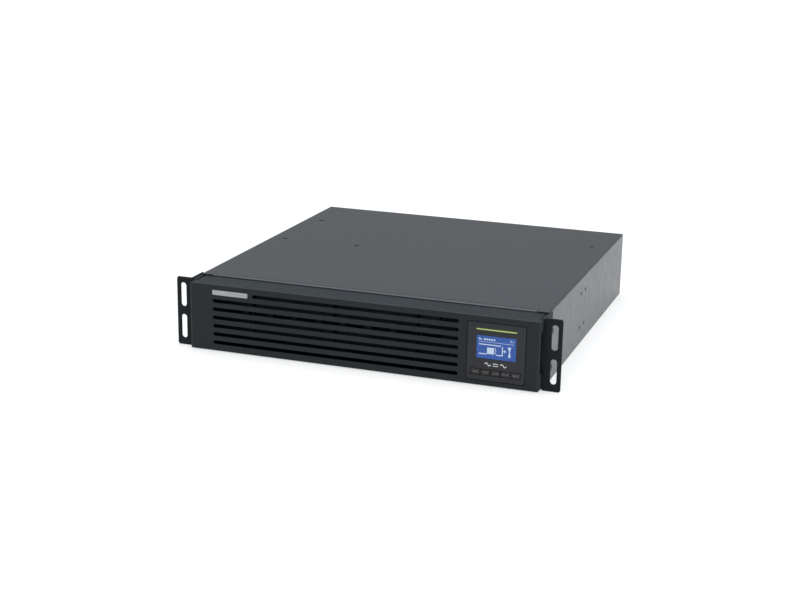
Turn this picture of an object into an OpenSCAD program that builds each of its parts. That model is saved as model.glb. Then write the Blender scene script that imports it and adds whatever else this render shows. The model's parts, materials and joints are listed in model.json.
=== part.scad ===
// Rack-mounted uninterruptible power supply, two rack units high, in millimetres.
// X runs to the right seen from the front, Y runs to the back and Z up.
// The origin is under the middle of the whole unit, on the surface it stands on.
// Inside the modules, depths are counted backwards from the front of the rack ears.

/* [Case] */
// Width of the case
case_w = 440; // [438:0.5:442]
// Height of the case: two rack units less the working gap
case_h = 86; // [86:0.1:87]
// Depth of the case behind the rack plane
case_d = 442; // [440:1:460]
// Thickness of the sheet steel
sheet = 1.2; // [1:0.1:1.4]
// Outer radius of the sheet's bends
bend_r = 2; // [1.8:0.1:3]
// Depth at which the metal case starts, behind the bezel
lip_y = 24; // [24:0.5:25]
// Depth of the front frame's top strip
lip_d = 7; // [5:0.5:8]
// Width of the front frame's top strip
lip_w = 410; // [400:1:414]
// Depth of the rear panel's rim
rim_d = 4.3; // [3:0.1:6]

/* [Rack ears] */
// Width over the two ears, the 19-inch rack width
rack_w = 482.6; // [481:0.1:484]
// Thickness of an ear's front plate
ear_t = 2; // [1.5:0.1:2.1]
// Depth of an ear's side flange
flange_d = 30; // [28:1:36]
// Width of an ear's slots
slot_w = 7.4; // [6:0.1:8]
// End-to-end length of an ear's slots
slot_l = 30; // [20:1:32]
// Height of the lower slot's centre
slot_z = 23.6; // [20:0.1:24]
// Distance between the centres of the two slots
slot_pitch = 40.2; // [36:0.1:44]
// Distance of the slots' centres from the middle of the rack
slot_x = 232.55; // [232:0.05:233]

/* [Bezel] */
// Width of the bezel's front
bezel_w = 439.2; // [438.4:0.1:439.4]
// Width of the bezel's skirt, which slides between the case's side walls
skirt_w = 433; // [430:0.5:433]
// Height of the bezel's top surface
bezel_top = 84; // [83:0.1:84]
// How far the bezel stands in front of the rack plane
bezel_out = 11; // [8:0.5:14]
// Wall thickness of the bezel
bezel_t = 2.6; // [2:0.1:3]
// Radius of the bezel's long front edges
bezel_edge_r = 2.4; // [1:0.1:2.5]
// Number of louvre slots
louvres = 7; // [3:1:7]
// Distance between louvre slots
louvre_pitch = 10.45; // [10:0.05:10.5]
// Height of a louvre slot
louvre_h = 4.6; // [3:0.1:6]
// Height of the lowest louvre slot's centre
louvre_z = 11.4; // [10:0.1:12]
// Left end of the louvre slots
louvre_left = -188.2; // [-190:0.1:-170]
// Right end of the louvre slots
louvre_right = 122.8; // [100:0.1:123]
// Left end of the top slot, which leaves room for the badge
louvre_top_left = -136; // [-140:0.1:-130]

/* [Display] */
// Side of the square display module
display_w = 68.6; // [66:0.1:69]
// Position of the display module across the front
display_x = 167.6; // [166:0.1:168]
// Height of the display module's centre
display_z = 41.4; // [41:0.1:42]
// Number of keys
keys = 5; // [3:1:5]
// Distance between keys
key_pitch = 11.96; // [11.5:0.01:12]
// Height of a key
key_h = 6.3; // [5:0.1:7]
// Travel of a key
key_travel = 0.8; // [0.5:0.1:1]

/* [Batteries] */
// Length of a sealed 12 V 9 Ah battery
battery_l = 151; // [150:0.5:152]
// Height of a battery's case, which lies along Y here
battery_d = 94; // [93:0.5:95]
// Width of a battery, which stands upright here
battery_h = 65; // [64:0.5:66]

/* [Fans] */
// Side of a fan's frame
fan_w = 80; // [80:1:80]
// Depth of a fan
fan_d = 25; // [25:1:25]
// Distance between a fan's screw holes
fan_holes = 71.5; // [71.5:0.1:71.5]
// Radius of a fan's air hole
fan_bore_r = 38; // [37:0.1:38.5]
// Number of blades on a rotor
blades = 7; // [5:1:9]

/* [Hidden] */
$fn = 48;

// Fits and gaps
fit = 0.3;            // between parts that slide past each other
eps = 0.05;           // how far a cut runs past a face
shaft_gap = 0.05;     // radial clearance of a turning or sliding shaft

// The unit's whole depth runs from the badge on the bezel to the tip of the earth stud
badge_t = 0.6;
front_out = bezel_out + badge_t;
rear_out = 7;
rack_y = front_out - (front_out + case_d + rear_out) / 2;

// Case
half_w = case_w / 2;
wall_x = half_w - sheet - fit;
wall_in = wall_x - sheet;
cover_back = case_d - rim_d - 0.2;
floor_z = sheet + 0.3;
ceiling_z = case_h - sheet - 0.3;
screw_x = 196;
rear_screw_y = 351;
cover_spots = [[-196, rear_screw_y], [-200, 231.5], [-96, 231.5], [196, rear_screw_y]];
cover_screw_r = 1.5;
cover_head_r = 3;
side_hole_r = 1.9;
side_hole_y = [185.7, 209.7];
side_hole_z = [22.3, 66.3];

// Rack ears
ear_in = half_w + 0.4;
ear_screw_y = [9, 24];
ear_screw_z = [21, 65];
ear_screw_r = 2;

// Bezel
bezel_bottom = 0.4;
step_y = 1.6;
bezel_back = lip_y - fit;
bezel_r = 4;
peg_r = 2.5;
peg_x = 211.5;
peg_z = [12, 74];
peg_end = lip_y + 6;
louvre_ribs = 3;
finger_z = [21, 72];
finger_depth = 4;
badge_x = [-188, -141.6];
badge_z = [71.4, 77.4];

// Display module
pocket_w = display_w + 1.4;
pocket_r = 2.8;
pocket_back = 12;
face_y = -bezel_out + 0.2;
face_t = 2;
glass_w = 46.3;
glass_h = 26.8;
glass_z = 46.9;
bar_w = 48.2;
bar_h = 1.9;
bar_z = 67.9;
key_gap = 0.7;
key_w = key_pitch - 1.1;
key_z = 16.9;
key_x = [for (i = [0 : keys - 1]) display_x + (i - (keys - 1) / 2) * key_pitch];
board_y = -2;

// Battery bay
bay_x = -48;
bay_w = 308;
bay_y = 27;
partition_y = 238;
tray_t = 1;
tray_x = [bay_x - bay_w / 2 + 0.6, bay_x + bay_w / 2 - 0.6];
row_gap = 18;
battery_x = [bay_x - battery_l / 2 - 0.8, bay_x + battery_l / 2 + 0.8];
battery_y = [bay_y + 3, bay_y + 3 + battery_d + row_gap];
battery_z = floor_z + tray_t + 0.2;
tab_reach = 6.3;
tab_dx = battery_l / 2 - 17;
retainer_y = lip_y - sheet - 0.1;
retainer_screw_x = [bay_x - bay_w / 2 - 3, bay_x + bay_w / 2 + 3];
retainer_screw_z = [32, 52];
retainer_mid_z = 36.5;
retainer_h = 63;
frame_bay_z = 41;
frame_bay_h = 76;
frame_vent_x = 160;
frame_vent_z = 12;
frame_vent_pitch = 9;
vent_w = 26;
vent_dx = 32;
vent_dz = 15;
strap_y = lip_y + sheet + 0.2;
strap_t = 1.2;
strap_w = 100;
strap_z = [20, 34];

// Electronics
board_z = 11;
board_t = 1.6;
power_x = [-205, 205];
power_y = [246, 404];
control_x = [114, 212];
control_y = [40, 230];
board_top = board_z + board_t;
board_corner = 6;
heatsink_w = 70;
heatsink_x = [-200, -105];
heatsink_y = [262, 392];
heatsink_top = 68;
fins = 12;
fin_t = 1.6;
transistor_t = 4.6;
transistor_pitch = 30;
transistor_x = [heatsink_x[0] + heatsink_w + 0.1, heatsink_x[1] - transistor_t - 0.1];
capacitor_r = 15;
capacitor_h = 50;
capacitor_pitch = 36;
choke_x = [-2, 54];
choke_y = 366;
choke_r = 17;
relay_pitch = 15;
ribbon_w = 22;
ribbon_t = 0.9;
ribbon_y = [pocket_back + 1, 60];

// Back of the unit
fan_x = [-172, -88];
fan_z = case_h / 2 + 0.2;
fan_y = case_d - sheet - fan_d - 0.1;
strut_d = 3;
shaft_r = 1.5;
hub_r = 15.5;
blade_tip_r = fan_bore_r - 1;
blade_tilt = 42;
wire_r = 0.8;
ring_step = 8;
inner_y = case_d - sheet - 0.1;
opening_play = 0.6;
outlet_x = 16;
outlet_h = 26;
outlet_pitch = 28;
outlet_z = [24, 54];
inlet_x = 101;
inlet_z = 25;
inlet_size = [34, 24];
inlet_screw_dx = 20;
inlet_pin_spots = [[-8, 2.5], [8, 2.5], [0, -3.5]];
breaker_x = 101;
breaker_z = 62;
breaker_r = 4;
breaker_neck_r = 6;
port_z = 40;
serial_x = 150;
serial_size = [20, 11];
serial_screw_dx = 12.5;
usb_x = 177;
usb_size = [13, 12];
shutdown_x = 198;
shutdown_size = [12, 10];
jack_x = 194;
jack_z = 16;
jack_size = [31, 15];
socket_x = 153;
socket_z = 16;
socket_size = [38, 18];
bay_cover_x = 172;
bay_cover_z = 68;
bay_cover_screw_dx = 36;
stud_x = 122;
stud_z = 78;
stud_r = 2.5;
nut_r = 4.6;

module from_rack_plane() translate([0, rack_y, 0]) children();

module block(x, y, z)
    translate([x[0], y[0], z[0]])
        cube([x[1] - x[0], y[1] - y[0], z[1] - z[0]]);

// A flat outline, drawn as X and Z, given a depth from y0 to y1
module along_y(y0, y1)
    translate([0, y1, 0])
        rotate([90, 0, 0])
            linear_extrude(y1 - y0) children();

// A flat outline, drawn as Y and Z, given a width from x0 to x1
module along_x(x0, x1)
    translate([x0, 0, 0])
        rotate([90, 0, 90])
            linear_extrude(x1 - x0) children();

module at_xz(x, z) translate([x, z]) children();

module round_rect(w, h, r) {
    square([w - 2 * r, h], center = true);
    square([w, h - 2 * r], center = true);
    for (sx = [-1, 1], sz = [-1, 1])
        translate([sx * (w / 2 - r), sz * (h / 2 - r)]) circle(r);
}

module stadium(w, h) {
    square([w - h, h], center = true);
    for (s = [-1, 1]) translate([s * (w - h) / 2, 0]) circle(h / 2);
}

module hole_y(x, z, r, y0, y1) translate([x, y1, z]) rotate([90, 0, 0]) cylinder(h = y1 - y0, r = r);

module rod_x(x0, x1, y, z, r) translate([x0, y, z]) rotate([0, 90, 0]) cylinder(h = x1 - x0, r = r);

// A pan-head screw that points along -Z, with its head's underside at z = 0
module pan_screw(r, length, head_r, head_h) {
    translate([0, 0, -length]) cylinder(h = length, r = r);
    difference() {
        cylinder(h = head_h, r = head_r);
        for (a = [0, 90])
            rotate([0, 0, a])
                translate([-head_r * 0.6, -0.4, head_h * 0.5]) cube([head_r * 1.2, 0.8, head_h]);
    }
}

// ---- Case ----

module side_holes(x0, x1)
    for (s = [-1, 1], y = side_hole_y, z = side_hole_z)
        rod_x(s > 0 ? x0 : -x1, s > 0 ? x1 : -x0, y, z, side_hole_r);

module ear_screw_holes(x0, x1, r)
    for (s = [-1, 1], y = ear_screw_y, z = ear_screw_z)
        rod_x(s > 0 ? x0 : -x1, s > 0 ? x1 : -x0, y, z, r);

module chassis_base() color("#3c4144") from_rack_plane() difference() {
    union() {
        block([-wall_x, wall_x], [lip_y + fit, case_d - sheet - fit], [0, sheet]);
        for (s = [-1, 1]) {
            translate([s * (wall_x + wall_in) / 2, 0, 0])
                block([-sheet / 2, sheet / 2], [ear_t + 0.4, case_d - sheet - fit], [0, ceiling_z]);
            translate([s * screw_x, 0, 0])
                block([s > 0 ? -9 : screw_x - wall_x, s > 0 ? wall_x - screw_x : 9],
                    [rear_screw_y - 9, rear_screw_y + 9], [ceiling_z - sheet, ceiling_z]);
        }
    }
    for (s = [-1, 1])
        translate([s * screw_x, rear_screw_y, ceiling_z - 5]) cylinder(h = 10, r = cover_screw_r + 0.1);
    side_holes(wall_in - 1, wall_x + 1);
    ear_screw_holes(wall_in - 1, wall_x + 1, ear_screw_r + 0.1);
}

module cover_profile() difference() {
    translate([0, case_h / 2 - 5]) round_rect(case_w, case_h + 10, bend_r);
    translate([0, case_h / 2 - 5 - sheet]) round_rect(case_w - 2 * sheet, case_h + 10, bend_r - sheet);
    translate([-case_w, -20]) square([2 * case_w, 20 + fit]);
}

module top_cover() color("#5f6366") from_rack_plane() difference() {
    union() {
        along_y(lip_y, cover_back) cover_profile();
        for (s = [-1, 1])
            translate([s * (half_w - sheet / 2), 0, 0])
                block([-sheet / 2, sheet / 2], [ear_t + 0.4, lip_y + 1], [fit, case_h - bend_r]);
    }
    block([-lip_w / 2, lip_w / 2], [lip_y - 1, lip_y + lip_d], [case_h - 2 * sheet, case_h + 1]);
    for (s = [-1, 1])
        translate([s * lip_w / 2, lip_y + lip_d, case_h - 5]) cylinder(h = 10, r = 1.3);
    for (p = cover_spots) {
        translate([p[0], p[1], case_h - 5]) cylinder(h = 10, r = cover_screw_r + 0.2);
        translate([p[0], p[1], case_h - sheet - eps])
            cylinder(h = sheet + 2 * eps, r1 = cover_screw_r + 0.2, r2 = cover_head_r + 0.35);
    }
    side_holes(half_w - sheet - 1, half_w + 1);
    ear_screw_holes(half_w - sheet - 1, half_w + 1, ear_screw_r + 0.1);
}

module cover_screws() color("#26282a") from_rack_plane() for (p = cover_spots)
    translate([p[0], p[1], case_h]) difference() {
        union() {
            translate([0, 0, -sheet]) cylinder(h = sheet - 0.1, r1 = cover_screw_r, r2 = cover_head_r);
            translate([0, 0, -7]) cylinder(h = 7 - sheet, r = cover_screw_r);
        }
        for (a = [0, 90]) rotate([0, 0, a]) translate([-1.6, -0.35, -0.8]) cube([3.2, 0.7, 2]);
    }

module front_frame() color("#26292b") from_rack_plane() difference() {
    union() {
        block([-wall_in + 0.4, wall_in - 0.4], [lip_y, lip_y + sheet], [floor_z, ceiling_z - 0.1]);
        block([-lip_w / 2 + fit, lip_w / 2 - fit], [lip_y, lip_y + sheet], [ceiling_z - 1, case_h]);
        block([-lip_w / 2 + fit, lip_w / 2 - fit], [lip_y, lip_y + lip_d - fit], [case_h - sheet, case_h]);
        block([-lip_w / 2 + fit, lip_w / 2 - fit], [lip_y + sheet - eps, bay_y - fit],
            [floor_z, floor_z + sheet]);
    }
    along_y(lip_y - 1, lip_y + sheet + 1) {
        at_xz(bay_x, frame_bay_z) round_rect(bay_w, frame_bay_h, 3);
        for (x = retainer_screw_x, z = retainer_screw_z) at_xz(x, z) circle(1.8);
        for (i = [0 : 4]) at_xz(frame_vent_x, frame_vent_z + i * frame_vent_pitch) stadium(84, 5);
        at_xz(display_x, 66) round_rect(34, 10, 2);
        for (s = [-1, 1], z = peg_z) at_xz(s * peg_x, z) circle(peg_r + fit);
    }
}

module port_opening(x, z, size)
    at_xz(x, z) square([size.x + opening_play, size.y + opening_play], center = true);

module rear_openings() {
    for (x = fan_x) at_xz(x, fan_z) {
        circle(fan_bore_r);
        for (a = [-1, 1], b = [-1, 1]) translate([a, b] * fan_holes / 2) circle(1.7);
    }
    for (z = outlet_z) port_opening(outlet_x, z, [4 * outlet_pitch, outlet_h]);
    port_opening(inlet_x, inlet_z, inlet_size);
    for (s = [-1, 1]) at_xz(inlet_x + s * inlet_screw_dx, inlet_z) circle(1.7);
    at_xz(breaker_x, breaker_z) circle(breaker_neck_r + 0.2);
    port_opening(serial_x, port_z, serial_size);
    port_opening(usb_x, port_z, usb_size);
    port_opening(shutdown_x, port_z, shutdown_size);
    port_opening(jack_x, jack_z, jack_size);
    port_opening(socket_x, socket_z, socket_size);
    at_xz(bay_cover_x, bay_cover_z) square([64, 22], center = true);
    for (s = [-1, 1]) at_xz(bay_cover_x + s * bay_cover_screw_dx, bay_cover_z) circle(1.9);
    at_xz(stud_x, stud_z) circle(stud_r + 0.2);
}

module rear_panel() color("#4b5053") from_rack_plane() difference() {
    union() {
        along_y(case_d - rim_d, case_d) intersection() {
            cover_profile();
            translate([0, case_h / 2]) square([case_w, case_h], center = true);
        }
        along_y(case_d - sheet, case_d) difference() {
            translate([0, case_h / 2 - 5]) round_rect(case_w, case_h + 10, bend_r);
            translate([-case_w, -20]) square([2 * case_w, 20 + fit]);
        }
    }
    along_y(case_d - sheet - 1, case_d + 1) rear_openings();
}

// ---- Rack ears ----

module ear() difference() {
    intersection() {
        union() {
            block([ear_in, rack_w / 2], [0, ear_t], [0, case_h]);
            block([half_w + 0.1, half_w + 0.1 + ear_t], [0, flange_d], [0, case_h]);
        }
        union() {
            along_y(-1, ear_t + eps) at_xz(half_w - 10 + (rack_w / 2 - half_w + 10) / 2, case_h / 2)
                round_rect(rack_w / 2 - half_w + 10, case_h, 3);
            block([half_w, half_w + 0.1 + ear_t], [ear_t, flange_d + 1], [0, case_h]);
        }
    }
    along_y(-1, ear_t + 1) for (i = [0, 1])
        at_xz(slot_x, slot_z + i * slot_pitch) rotate([0, 0, 90]) stadium(slot_l, slot_w);
    for (y = ear_screw_y, z = ear_screw_z) rod_x(half_w - 1, half_w + ear_t + 1, y, z, ear_screw_r + 0.2);
}

module ear_right() color("#26292b") from_rack_plane() ear();

module ear_left() color("#26292b") from_rack_plane() mirror([1, 0, 0]) ear();

module ear_screws() color("#1d1f20") from_rack_plane()
    for (s = [-1, 1], y = ear_screw_y, z = ear_screw_z)
        translate([s * (half_w + 0.1 + ear_t), y, z])
            rotate([0, s * 90, 0]) pan_screw(ear_screw_r, half_w + 0.1 + ear_t - wall_in - 0.2, 3.6, 2.2);

// ---- Bezel ----

module bezel_outline(w, inset = 0) at_xz(0, (bezel_top + bezel_bottom) / 2)
    round_rect(w - 2 * inset, bezel_top - bezel_bottom - 2 * inset, bezel_r - inset / 2);

// The bezel seen from above, with its two front corners rounded
module bezel_plan(inset) translate([0, -bezel_out + inset + half_w])
    round_rect(bezel_w - 2 * inset, case_w, bezel_r + 1 - inset);

// The bezel seen from the side, with its two long front edges rounded
module bezel_side() translate([-bezel_out + half_w, (bezel_top + bezel_bottom) / 2])
    round_rect(case_w, bezel_top - bezel_bottom, bezel_edge_r);

module bezel_shell() difference() {
    intersection() {
        union() {
            along_y(-bezel_out, step_y) bezel_outline(bezel_w);
            along_y(0, bezel_back) bezel_outline(skirt_w);
        }
        linear_extrude(case_h) bezel_plan(0);
        along_x(-half_w, half_w) bezel_side();
    }
    intersection() {
        along_y(-bezel_out + bezel_t, bezel_back + 1) bezel_outline(skirt_w, bezel_t);
        linear_extrude(case_h) bezel_plan(bezel_t);
    }
}

// A peg that locates the bezel in the front frame, with a web to the bezel's side wall
module bezel_peg(s, z) {
    hole_y(s * peg_x, z, peg_r, -bezel_out + 1, peg_end);
    translate([s * (skirt_w / 2 - bezel_t / 2 - 2), 0, 0])
        block([-2, 2], [-bezel_out + 1, bezel_back], [z - 1, z + 1]);
}

module louvre_slot(i) {
    left = i == louvres - 1 ? louvre_top_left : louvre_left;
    at_xz((left + louvre_right) / 2, louvre_z + i * louvre_pitch)
        stadium(louvre_right - left, louvre_h);
}

module display_pocket(w, r) at_xz(display_x, display_z) round_rect(w, w, r);

module bezel() color("#2d3234") from_rack_plane() difference() {
    union() {
        bezel_shell();
        along_y(-bezel_out + 1, pocket_back) intersection() {
            display_pocket(pocket_w + 3.2, pocket_r + 1.2);
            bezel_outline(skirt_w);
        }
        for (s = [-1, 1], z = peg_z) bezel_peg(s, z);
        for (i = [0 : louvre_ribs - 1])
            translate([louvre_left + (i + 0.5) * (louvre_right - louvre_left) / louvre_ribs, 0, 0])
                block([-1, 1], [-bezel_out + 1, 2], [bezel_bottom + 1, bezel_top - 1]);
    }
    along_y(-bezel_out - 1, -bezel_out + bezel_t + eps) for (i = [0 : louvres - 1]) louvre_slot(i);
    along_y(-bezel_out - 1, pocket_back + 1) display_pocket(pocket_w, pocket_r);
    for (s = [-1, 1]) translate([s * (bezel_w / 2 + 1), 0, 0])
        block([-finger_depth - 1, finger_depth + 1], [-bezel_out + bezel_t, step_y], finger_z);
}

module nameplate() color("#c9ccce") from_rack_plane()
    along_y(-front_out, -bezel_out)
        at_xz((badge_x[0] + badge_x[1]) / 2, (badge_z[0] + badge_z[1]) / 2)
            round_rect(badge_x[1] - badge_x[0], badge_z[1] - badge_z[0], 1.2);

// ---- Display module ----

module display_housing() color("#232628") from_rack_plane() difference() {
    along_y(face_y + face_t, pocket_back - 2) display_pocket(display_w, pocket_r - 0.6);
    along_y(face_y + face_t - 1, pocket_back - 4) display_pocket(display_w - 4, 2);
    along_y(pocket_back - 6, pocket_back) at_xz(display_x, display_z + 18) round_rect(26, 8, 1);
}

module face_openings() {
    at_xz(display_x, glass_z) round_rect(glass_w + 0.4, glass_h + 0.4, 0.6);
    at_xz(display_x, bar_z) round_rect(bar_w + 0.2, bar_h + 0.2, 0.8);
    at_xz(display_x, key_z) round_rect(key_w + 2 * key_gap + (keys - 1) * key_pitch, key_h + 2 * key_gap, 0.8);
}

module display_face() color("#3e3c3e") from_rack_plane() along_y(face_y, face_y + face_t) difference() {
    display_pocket(display_w, pocket_r - 0.6);
    face_openings();
}

module lcd_panel() color("#325ab4") from_rack_plane() union() {
    along_y(face_y + 0.5, face_y + face_t + 0.1) at_xz(display_x, glass_z) round_rect(glass_w, glass_h, 0.5);
    along_y(face_y + face_t + 0.1, face_y + face_t + 4)
        at_xz(display_x, glass_z) round_rect(glass_w + 6, glass_h + 5, 1);
}

module light_bar() color("#b6cc2e") from_rack_plane() union() {
    along_y(face_y - 0.1, face_y + face_t + 0.1) at_xz(display_x, bar_z) round_rect(bar_w, bar_h, 0.7);
    along_y(face_y + face_t + 0.1, board_y - 0.1) at_xz(display_x, bar_z) round_rect(bar_w - 6, bar_h, 0.7);
}

module display_board() color("#1f5b38") from_rack_plane() union() {
    along_y(board_y, board_y + board_t) difference() {
        display_pocket(display_w - 5, 1);
        for (a = [-1, 1], b = [-1, 1])
            at_xz(display_x + a * 29, display_z + b * 29) circle(1.6);
    }
    for (x = key_x) along_y(board_y - 3.6, board_y + eps) at_xz(x, key_z) square([6, 6], center = true);
    along_y(board_y + board_t - eps, board_y + board_t + 5) at_xz(display_x, display_z + 18)
        square([22, 5], center = true);
}

module key(i) color("#353335") from_rack_plane() union() {
    along_y(face_y - 0.2, face_y + face_t + 0.4) at_xz(key_x[i], key_z) round_rect(key_w, key_h, 0.5);
    along_y(face_y + face_t + 0.3, face_y + face_t + 1.2)
        at_xz(key_x[i], key_z) round_rect(key_w, key_h + 2.4, 0.5);
}

module key_1() key(0);

module key_2() key(1);

module key_3() key(2);

module key_4() key(3);

module key_5() key(4);

// ---- Battery bay ----

module partition_wall() color("#8d9295") from_rack_plane() difference() {
    union() {
        block([-wall_in + 0.4, wall_in - 0.4], [partition_y, partition_y + sheet], [floor_z, ceiling_z]);
        block([-wall_in + 0.4, -80], [partition_y - 13, partition_y + sheet], [ceiling_z - sheet, ceiling_z]);
        block([-wall_in + 0.4, wall_in - 0.4], [partition_y, partition_y + 10], [floor_z, floor_z + sheet]);
    }
    along_y(partition_y - 1, partition_y + sheet + 1) {
        for (i = [0 : 8], j = [0 : 3]) at_xz(-180 + i * vent_dx, 18 + j * vent_dz) stadium(vent_w, 6);
        at_xz(160, 20) round_rect(60, 24, 3);
    }
    for (x = [-200, -96]) translate([x, 231.5, ceiling_z - 5]) cylinder(h = 10, r = cover_screw_r + 0.1);
}

module battery_tray() color("#9a9fa2") from_rack_plane() difference() {
    union() {
        block(tray_x, [bay_y, partition_y - fit], [floor_z, floor_z + tray_t]);
        for (x = [tray_x[0], tray_x[1] - tray_t])
            block([x, x + tray_t], [bay_y, partition_y - fit], [floor_z, 30]);
        block(tray_x, [bay_y, bay_y + tray_t], [floor_z, 40]);
    }
    along_y(bay_y - 1, bay_y + tray_t + 1) for (s = [-1, 1]) at_xz(bay_x + s * 40, 26) stadium(24, 4);
}

module battery(i) color("#2a2c2f") from_rack_plane() {
    x = battery_x[i % 2];
    front = i < 2;
    y = battery_y[front ? 0 : 1];
    face = front ? y + battery_d : y;
    out = front ? 1 : -1;
    union() {
        along_y(y, y + battery_d) at_xz(x, battery_z + battery_h / 2) round_rect(battery_l, battery_h, 2);
        for (s = [-1, 1])
            translate([x + s * tab_dx, face + out * tab_reach / 2 - out * 0.5, battery_z + battery_h / 2])
                cube([6.35, tab_reach + 1, 0.8], center = true);
    }
}

module battery_1() battery(0);

module battery_2() battery(1);

module battery_3() battery(2);

module battery_4() battery(3);

// Insulated push-on sleeve over a battery tab
module tab_sleeve(x, front) {
    y = front ? battery_y[0] + battery_d : battery_y[1];
    z = battery_z + battery_h / 2;
    difference() {
        block([x - 4.5, x + 4.5], front ? [y + 0.4, y + 8] : [y - 8, y - 0.4], [z - 2, z + 2]);
        block([x - 3.3, x + 3.3], front ? [y - 1, y + 6.6] : [y - 6.6, y + 1], [z - 0.5, z + 0.5]);
    }
}

module battery_links() color("#a8281e") from_rack_plane() {
    wire = 2;
    z = battery_z + battery_h / 2;
    mid = battery_y[0] + battery_d + row_gap / 2;
    for (x = battery_x, s = [-1, 1], front = [true, false]) tab_sleeve(x + s * tab_dx, front);
    // The two rows are joined in series along the middle of the pack
    for (f = [1, -1]) {
        y = mid + f * 3.2;
        union() {
            rod_x(battery_x[0] + tab_dx, battery_x[1] - tab_dx, y, z + 6, wire);
            for (x = [battery_x[0] + tab_dx, battery_x[1] - tab_dx])
                translate([x, y, z + 1.9]) cylinder(h = 4.1 + wire, r = wire);
        }
    }
    // The pack's two leads run forward over the batteries to the plug
    top = battery_z + battery_h + 3;
    for (k = [0, 1]) {
        x = battery_x[1] + tab_dx - k * 9;
        union() {
            translate([x, mid - 3.2 + 6.4 * k, z + 1.9]) cylinder(h = top - z - 1.9, r = wire);
            translate([x, mid - 3.2 + 6.4 * k, top]) sphere(wire);
            hole_y(x, top, wire, bay_y - 2, mid - 3.2 + 6.4 * k);
        }
    }
}

module battery_plug() color("#3f4346") from_rack_plane() union() {
    x = battery_x[1] + tab_dx - 4.5;
    along_y(bay_y - 20, bay_y - 2) at_xz(x, battery_z + battery_h + 3) round_rect(24, 10, 2);
    along_y(bay_y - 21, bay_y - 20 + eps) at_xz(x, battery_z + battery_h + 3) round_rect(20, 8, 1);
}

module battery_retainer() color("#2f3335") from_rack_plane() difference() {
    along_y(retainer_y, retainer_y + sheet) difference() {
        at_xz(bay_x, retainer_mid_z) round_rect(bay_w + 12, retainer_h, 3);
        for (i = [0 : 8], j = [0 : 3]) at_xz(bay_x + (i - 4) * vent_dx, 14 + j * vent_dz) stadium(vent_w, 8);
        for (x = retainer_screw_x, z = retainer_screw_z) at_xz(x, z) circle(1.9);
    }
    block([battery_x[1] + tab_dx - 22, battery_x[1] + tab_dx + 12], [retainer_y - 1, lip_y], [62, 90]);
}

module thumb_screw() {
    translate([0, 0, -4]) cylinder(h = 4 + eps, r = 1.6);
    difference() {
        cylinder(h = 5, r = 4);
        for (a = [0 : 30 : 330]) rotate([0, 0, a]) translate([4.2, 0, 1]) cylinder(h = 5, r = 0.5);
        translate([-5, -0.5, 4]) cube([10, 1, 2]);
    }
}

module thumb_screws() color("#b4b8ba") from_rack_plane() {
    for (x = retainer_screw_x, z = retainer_screw_z)
        translate([x, retainer_y, z]) rotate([90, 0, 0]) thumb_screw();
    for (s = [-1, 1])
        translate([bay_cover_x + s * bay_cover_screw_dx, case_d + sheet, bay_cover_z])
            rotate([-90, 0, 0]) thumb_screw();
}

module pull_strap() color("#1c1d1e") from_rack_plane() union() {
    end_w = 12;
    block([bay_x - strap_w / 2, bay_x + strap_w / 2], [strap_y, strap_y + strap_t], strap_z);
    for (s = [-1, 1]) translate([bay_x + s * (strap_w - end_w) / 2, 0, 0])
        block([-end_w / 2, end_w / 2], [strap_y + strap_t - eps, bay_y - 0.1], strap_z);
}

// ---- Electronics ----

module board(x, y) block(x, y, [board_z, board_top]);

module standoff_spots(x, y)
    for (px = [x[0] + board_corner, x[1] - board_corner], py = [y[0] + board_corner, y[1] - board_corner])
        translate([px, py, 0]) children();

module bare_board(x, y) difference() {
    board(x, y);
    standoff_spots(x, y) cylinder(h = case_h, r = 1.7);
}

// A block of the given size on top of a board
module on_board(x, y, size) translate([x, y, board_top - eps]) cube(size);

module power_board() color("#1f5b38") from_rack_plane() union() {
    film_capacitor = [10, 22, 9];
    transformer = [34, 30, 28];
    small_transformer = [36, 26, 20];
    bare_board(power_x, power_y);
    for (i = [0 : 5]) on_board(108 + i * 1.5 * film_capacitor[0], 300, film_capacitor);
    on_board(110, power_y[0] + board_corner, transformer);
    on_board(160, 360, small_transformer);
}

module control_board() color("#1d4f6b") from_rack_plane() union() {
    header = [34, 8, 9];
    processor = [16, 16, 1.6];
    chip = [12, 8, 2];
    converter = [40, 18, 12];
    bare_board(control_x, control_y);
    on_board(130, 60, header);
    on_board(150, 100, processor);
    for (i = [0 : 3]) on_board(122 + i * 20, 130, chip);
    for (i = [0 : 2]) translate([128 + i * 18, 170, board_top - eps]) cylinder(h = 14, r = 5);
    on_board(130, 200, converter);
}

module board_standoffs() color("#c2a24a") from_rack_plane()
    for (b = [[power_x, power_y], [control_x, control_y]])
        standoff_spots(b[0], b[1]) union() {
            translate([0, 0, sheet]) cylinder(h = board_z - sheet, r = 3, $fn = 6);
            translate([0, 0, board_z]) cylinder(h = board_t + eps, r = 1.5);
            translate([0, 0, board_top]) cylinder(h = 2, r = 2.8);
        }

module heatsink(x) color("#aeb2b4") from_rack_plane() union() {
    foot_h = 2;
    base = [board_top + foot_h, board_top + foot_h + 6];
    block([x, x + heatsink_w], heatsink_y, base);
    for (i = [0 : fins - 1])
        translate([x + i * (heatsink_w - fin_t) / (fins - 1), 0, 0])
            block([0, fin_t], heatsink_y, [base[1] - 1, heatsink_top]);
    for (y = [heatsink_y[0] + 5, heatsink_y[1] - 5])
        translate([x + heatsink_w / 2, y, board_top]) cylinder(h = foot_h + 1, r = 3);
}

module inverter_heatsink() heatsink(heatsink_x[0]);

module rectifier_heatsink() heatsink(heatsink_x[1]);

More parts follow.
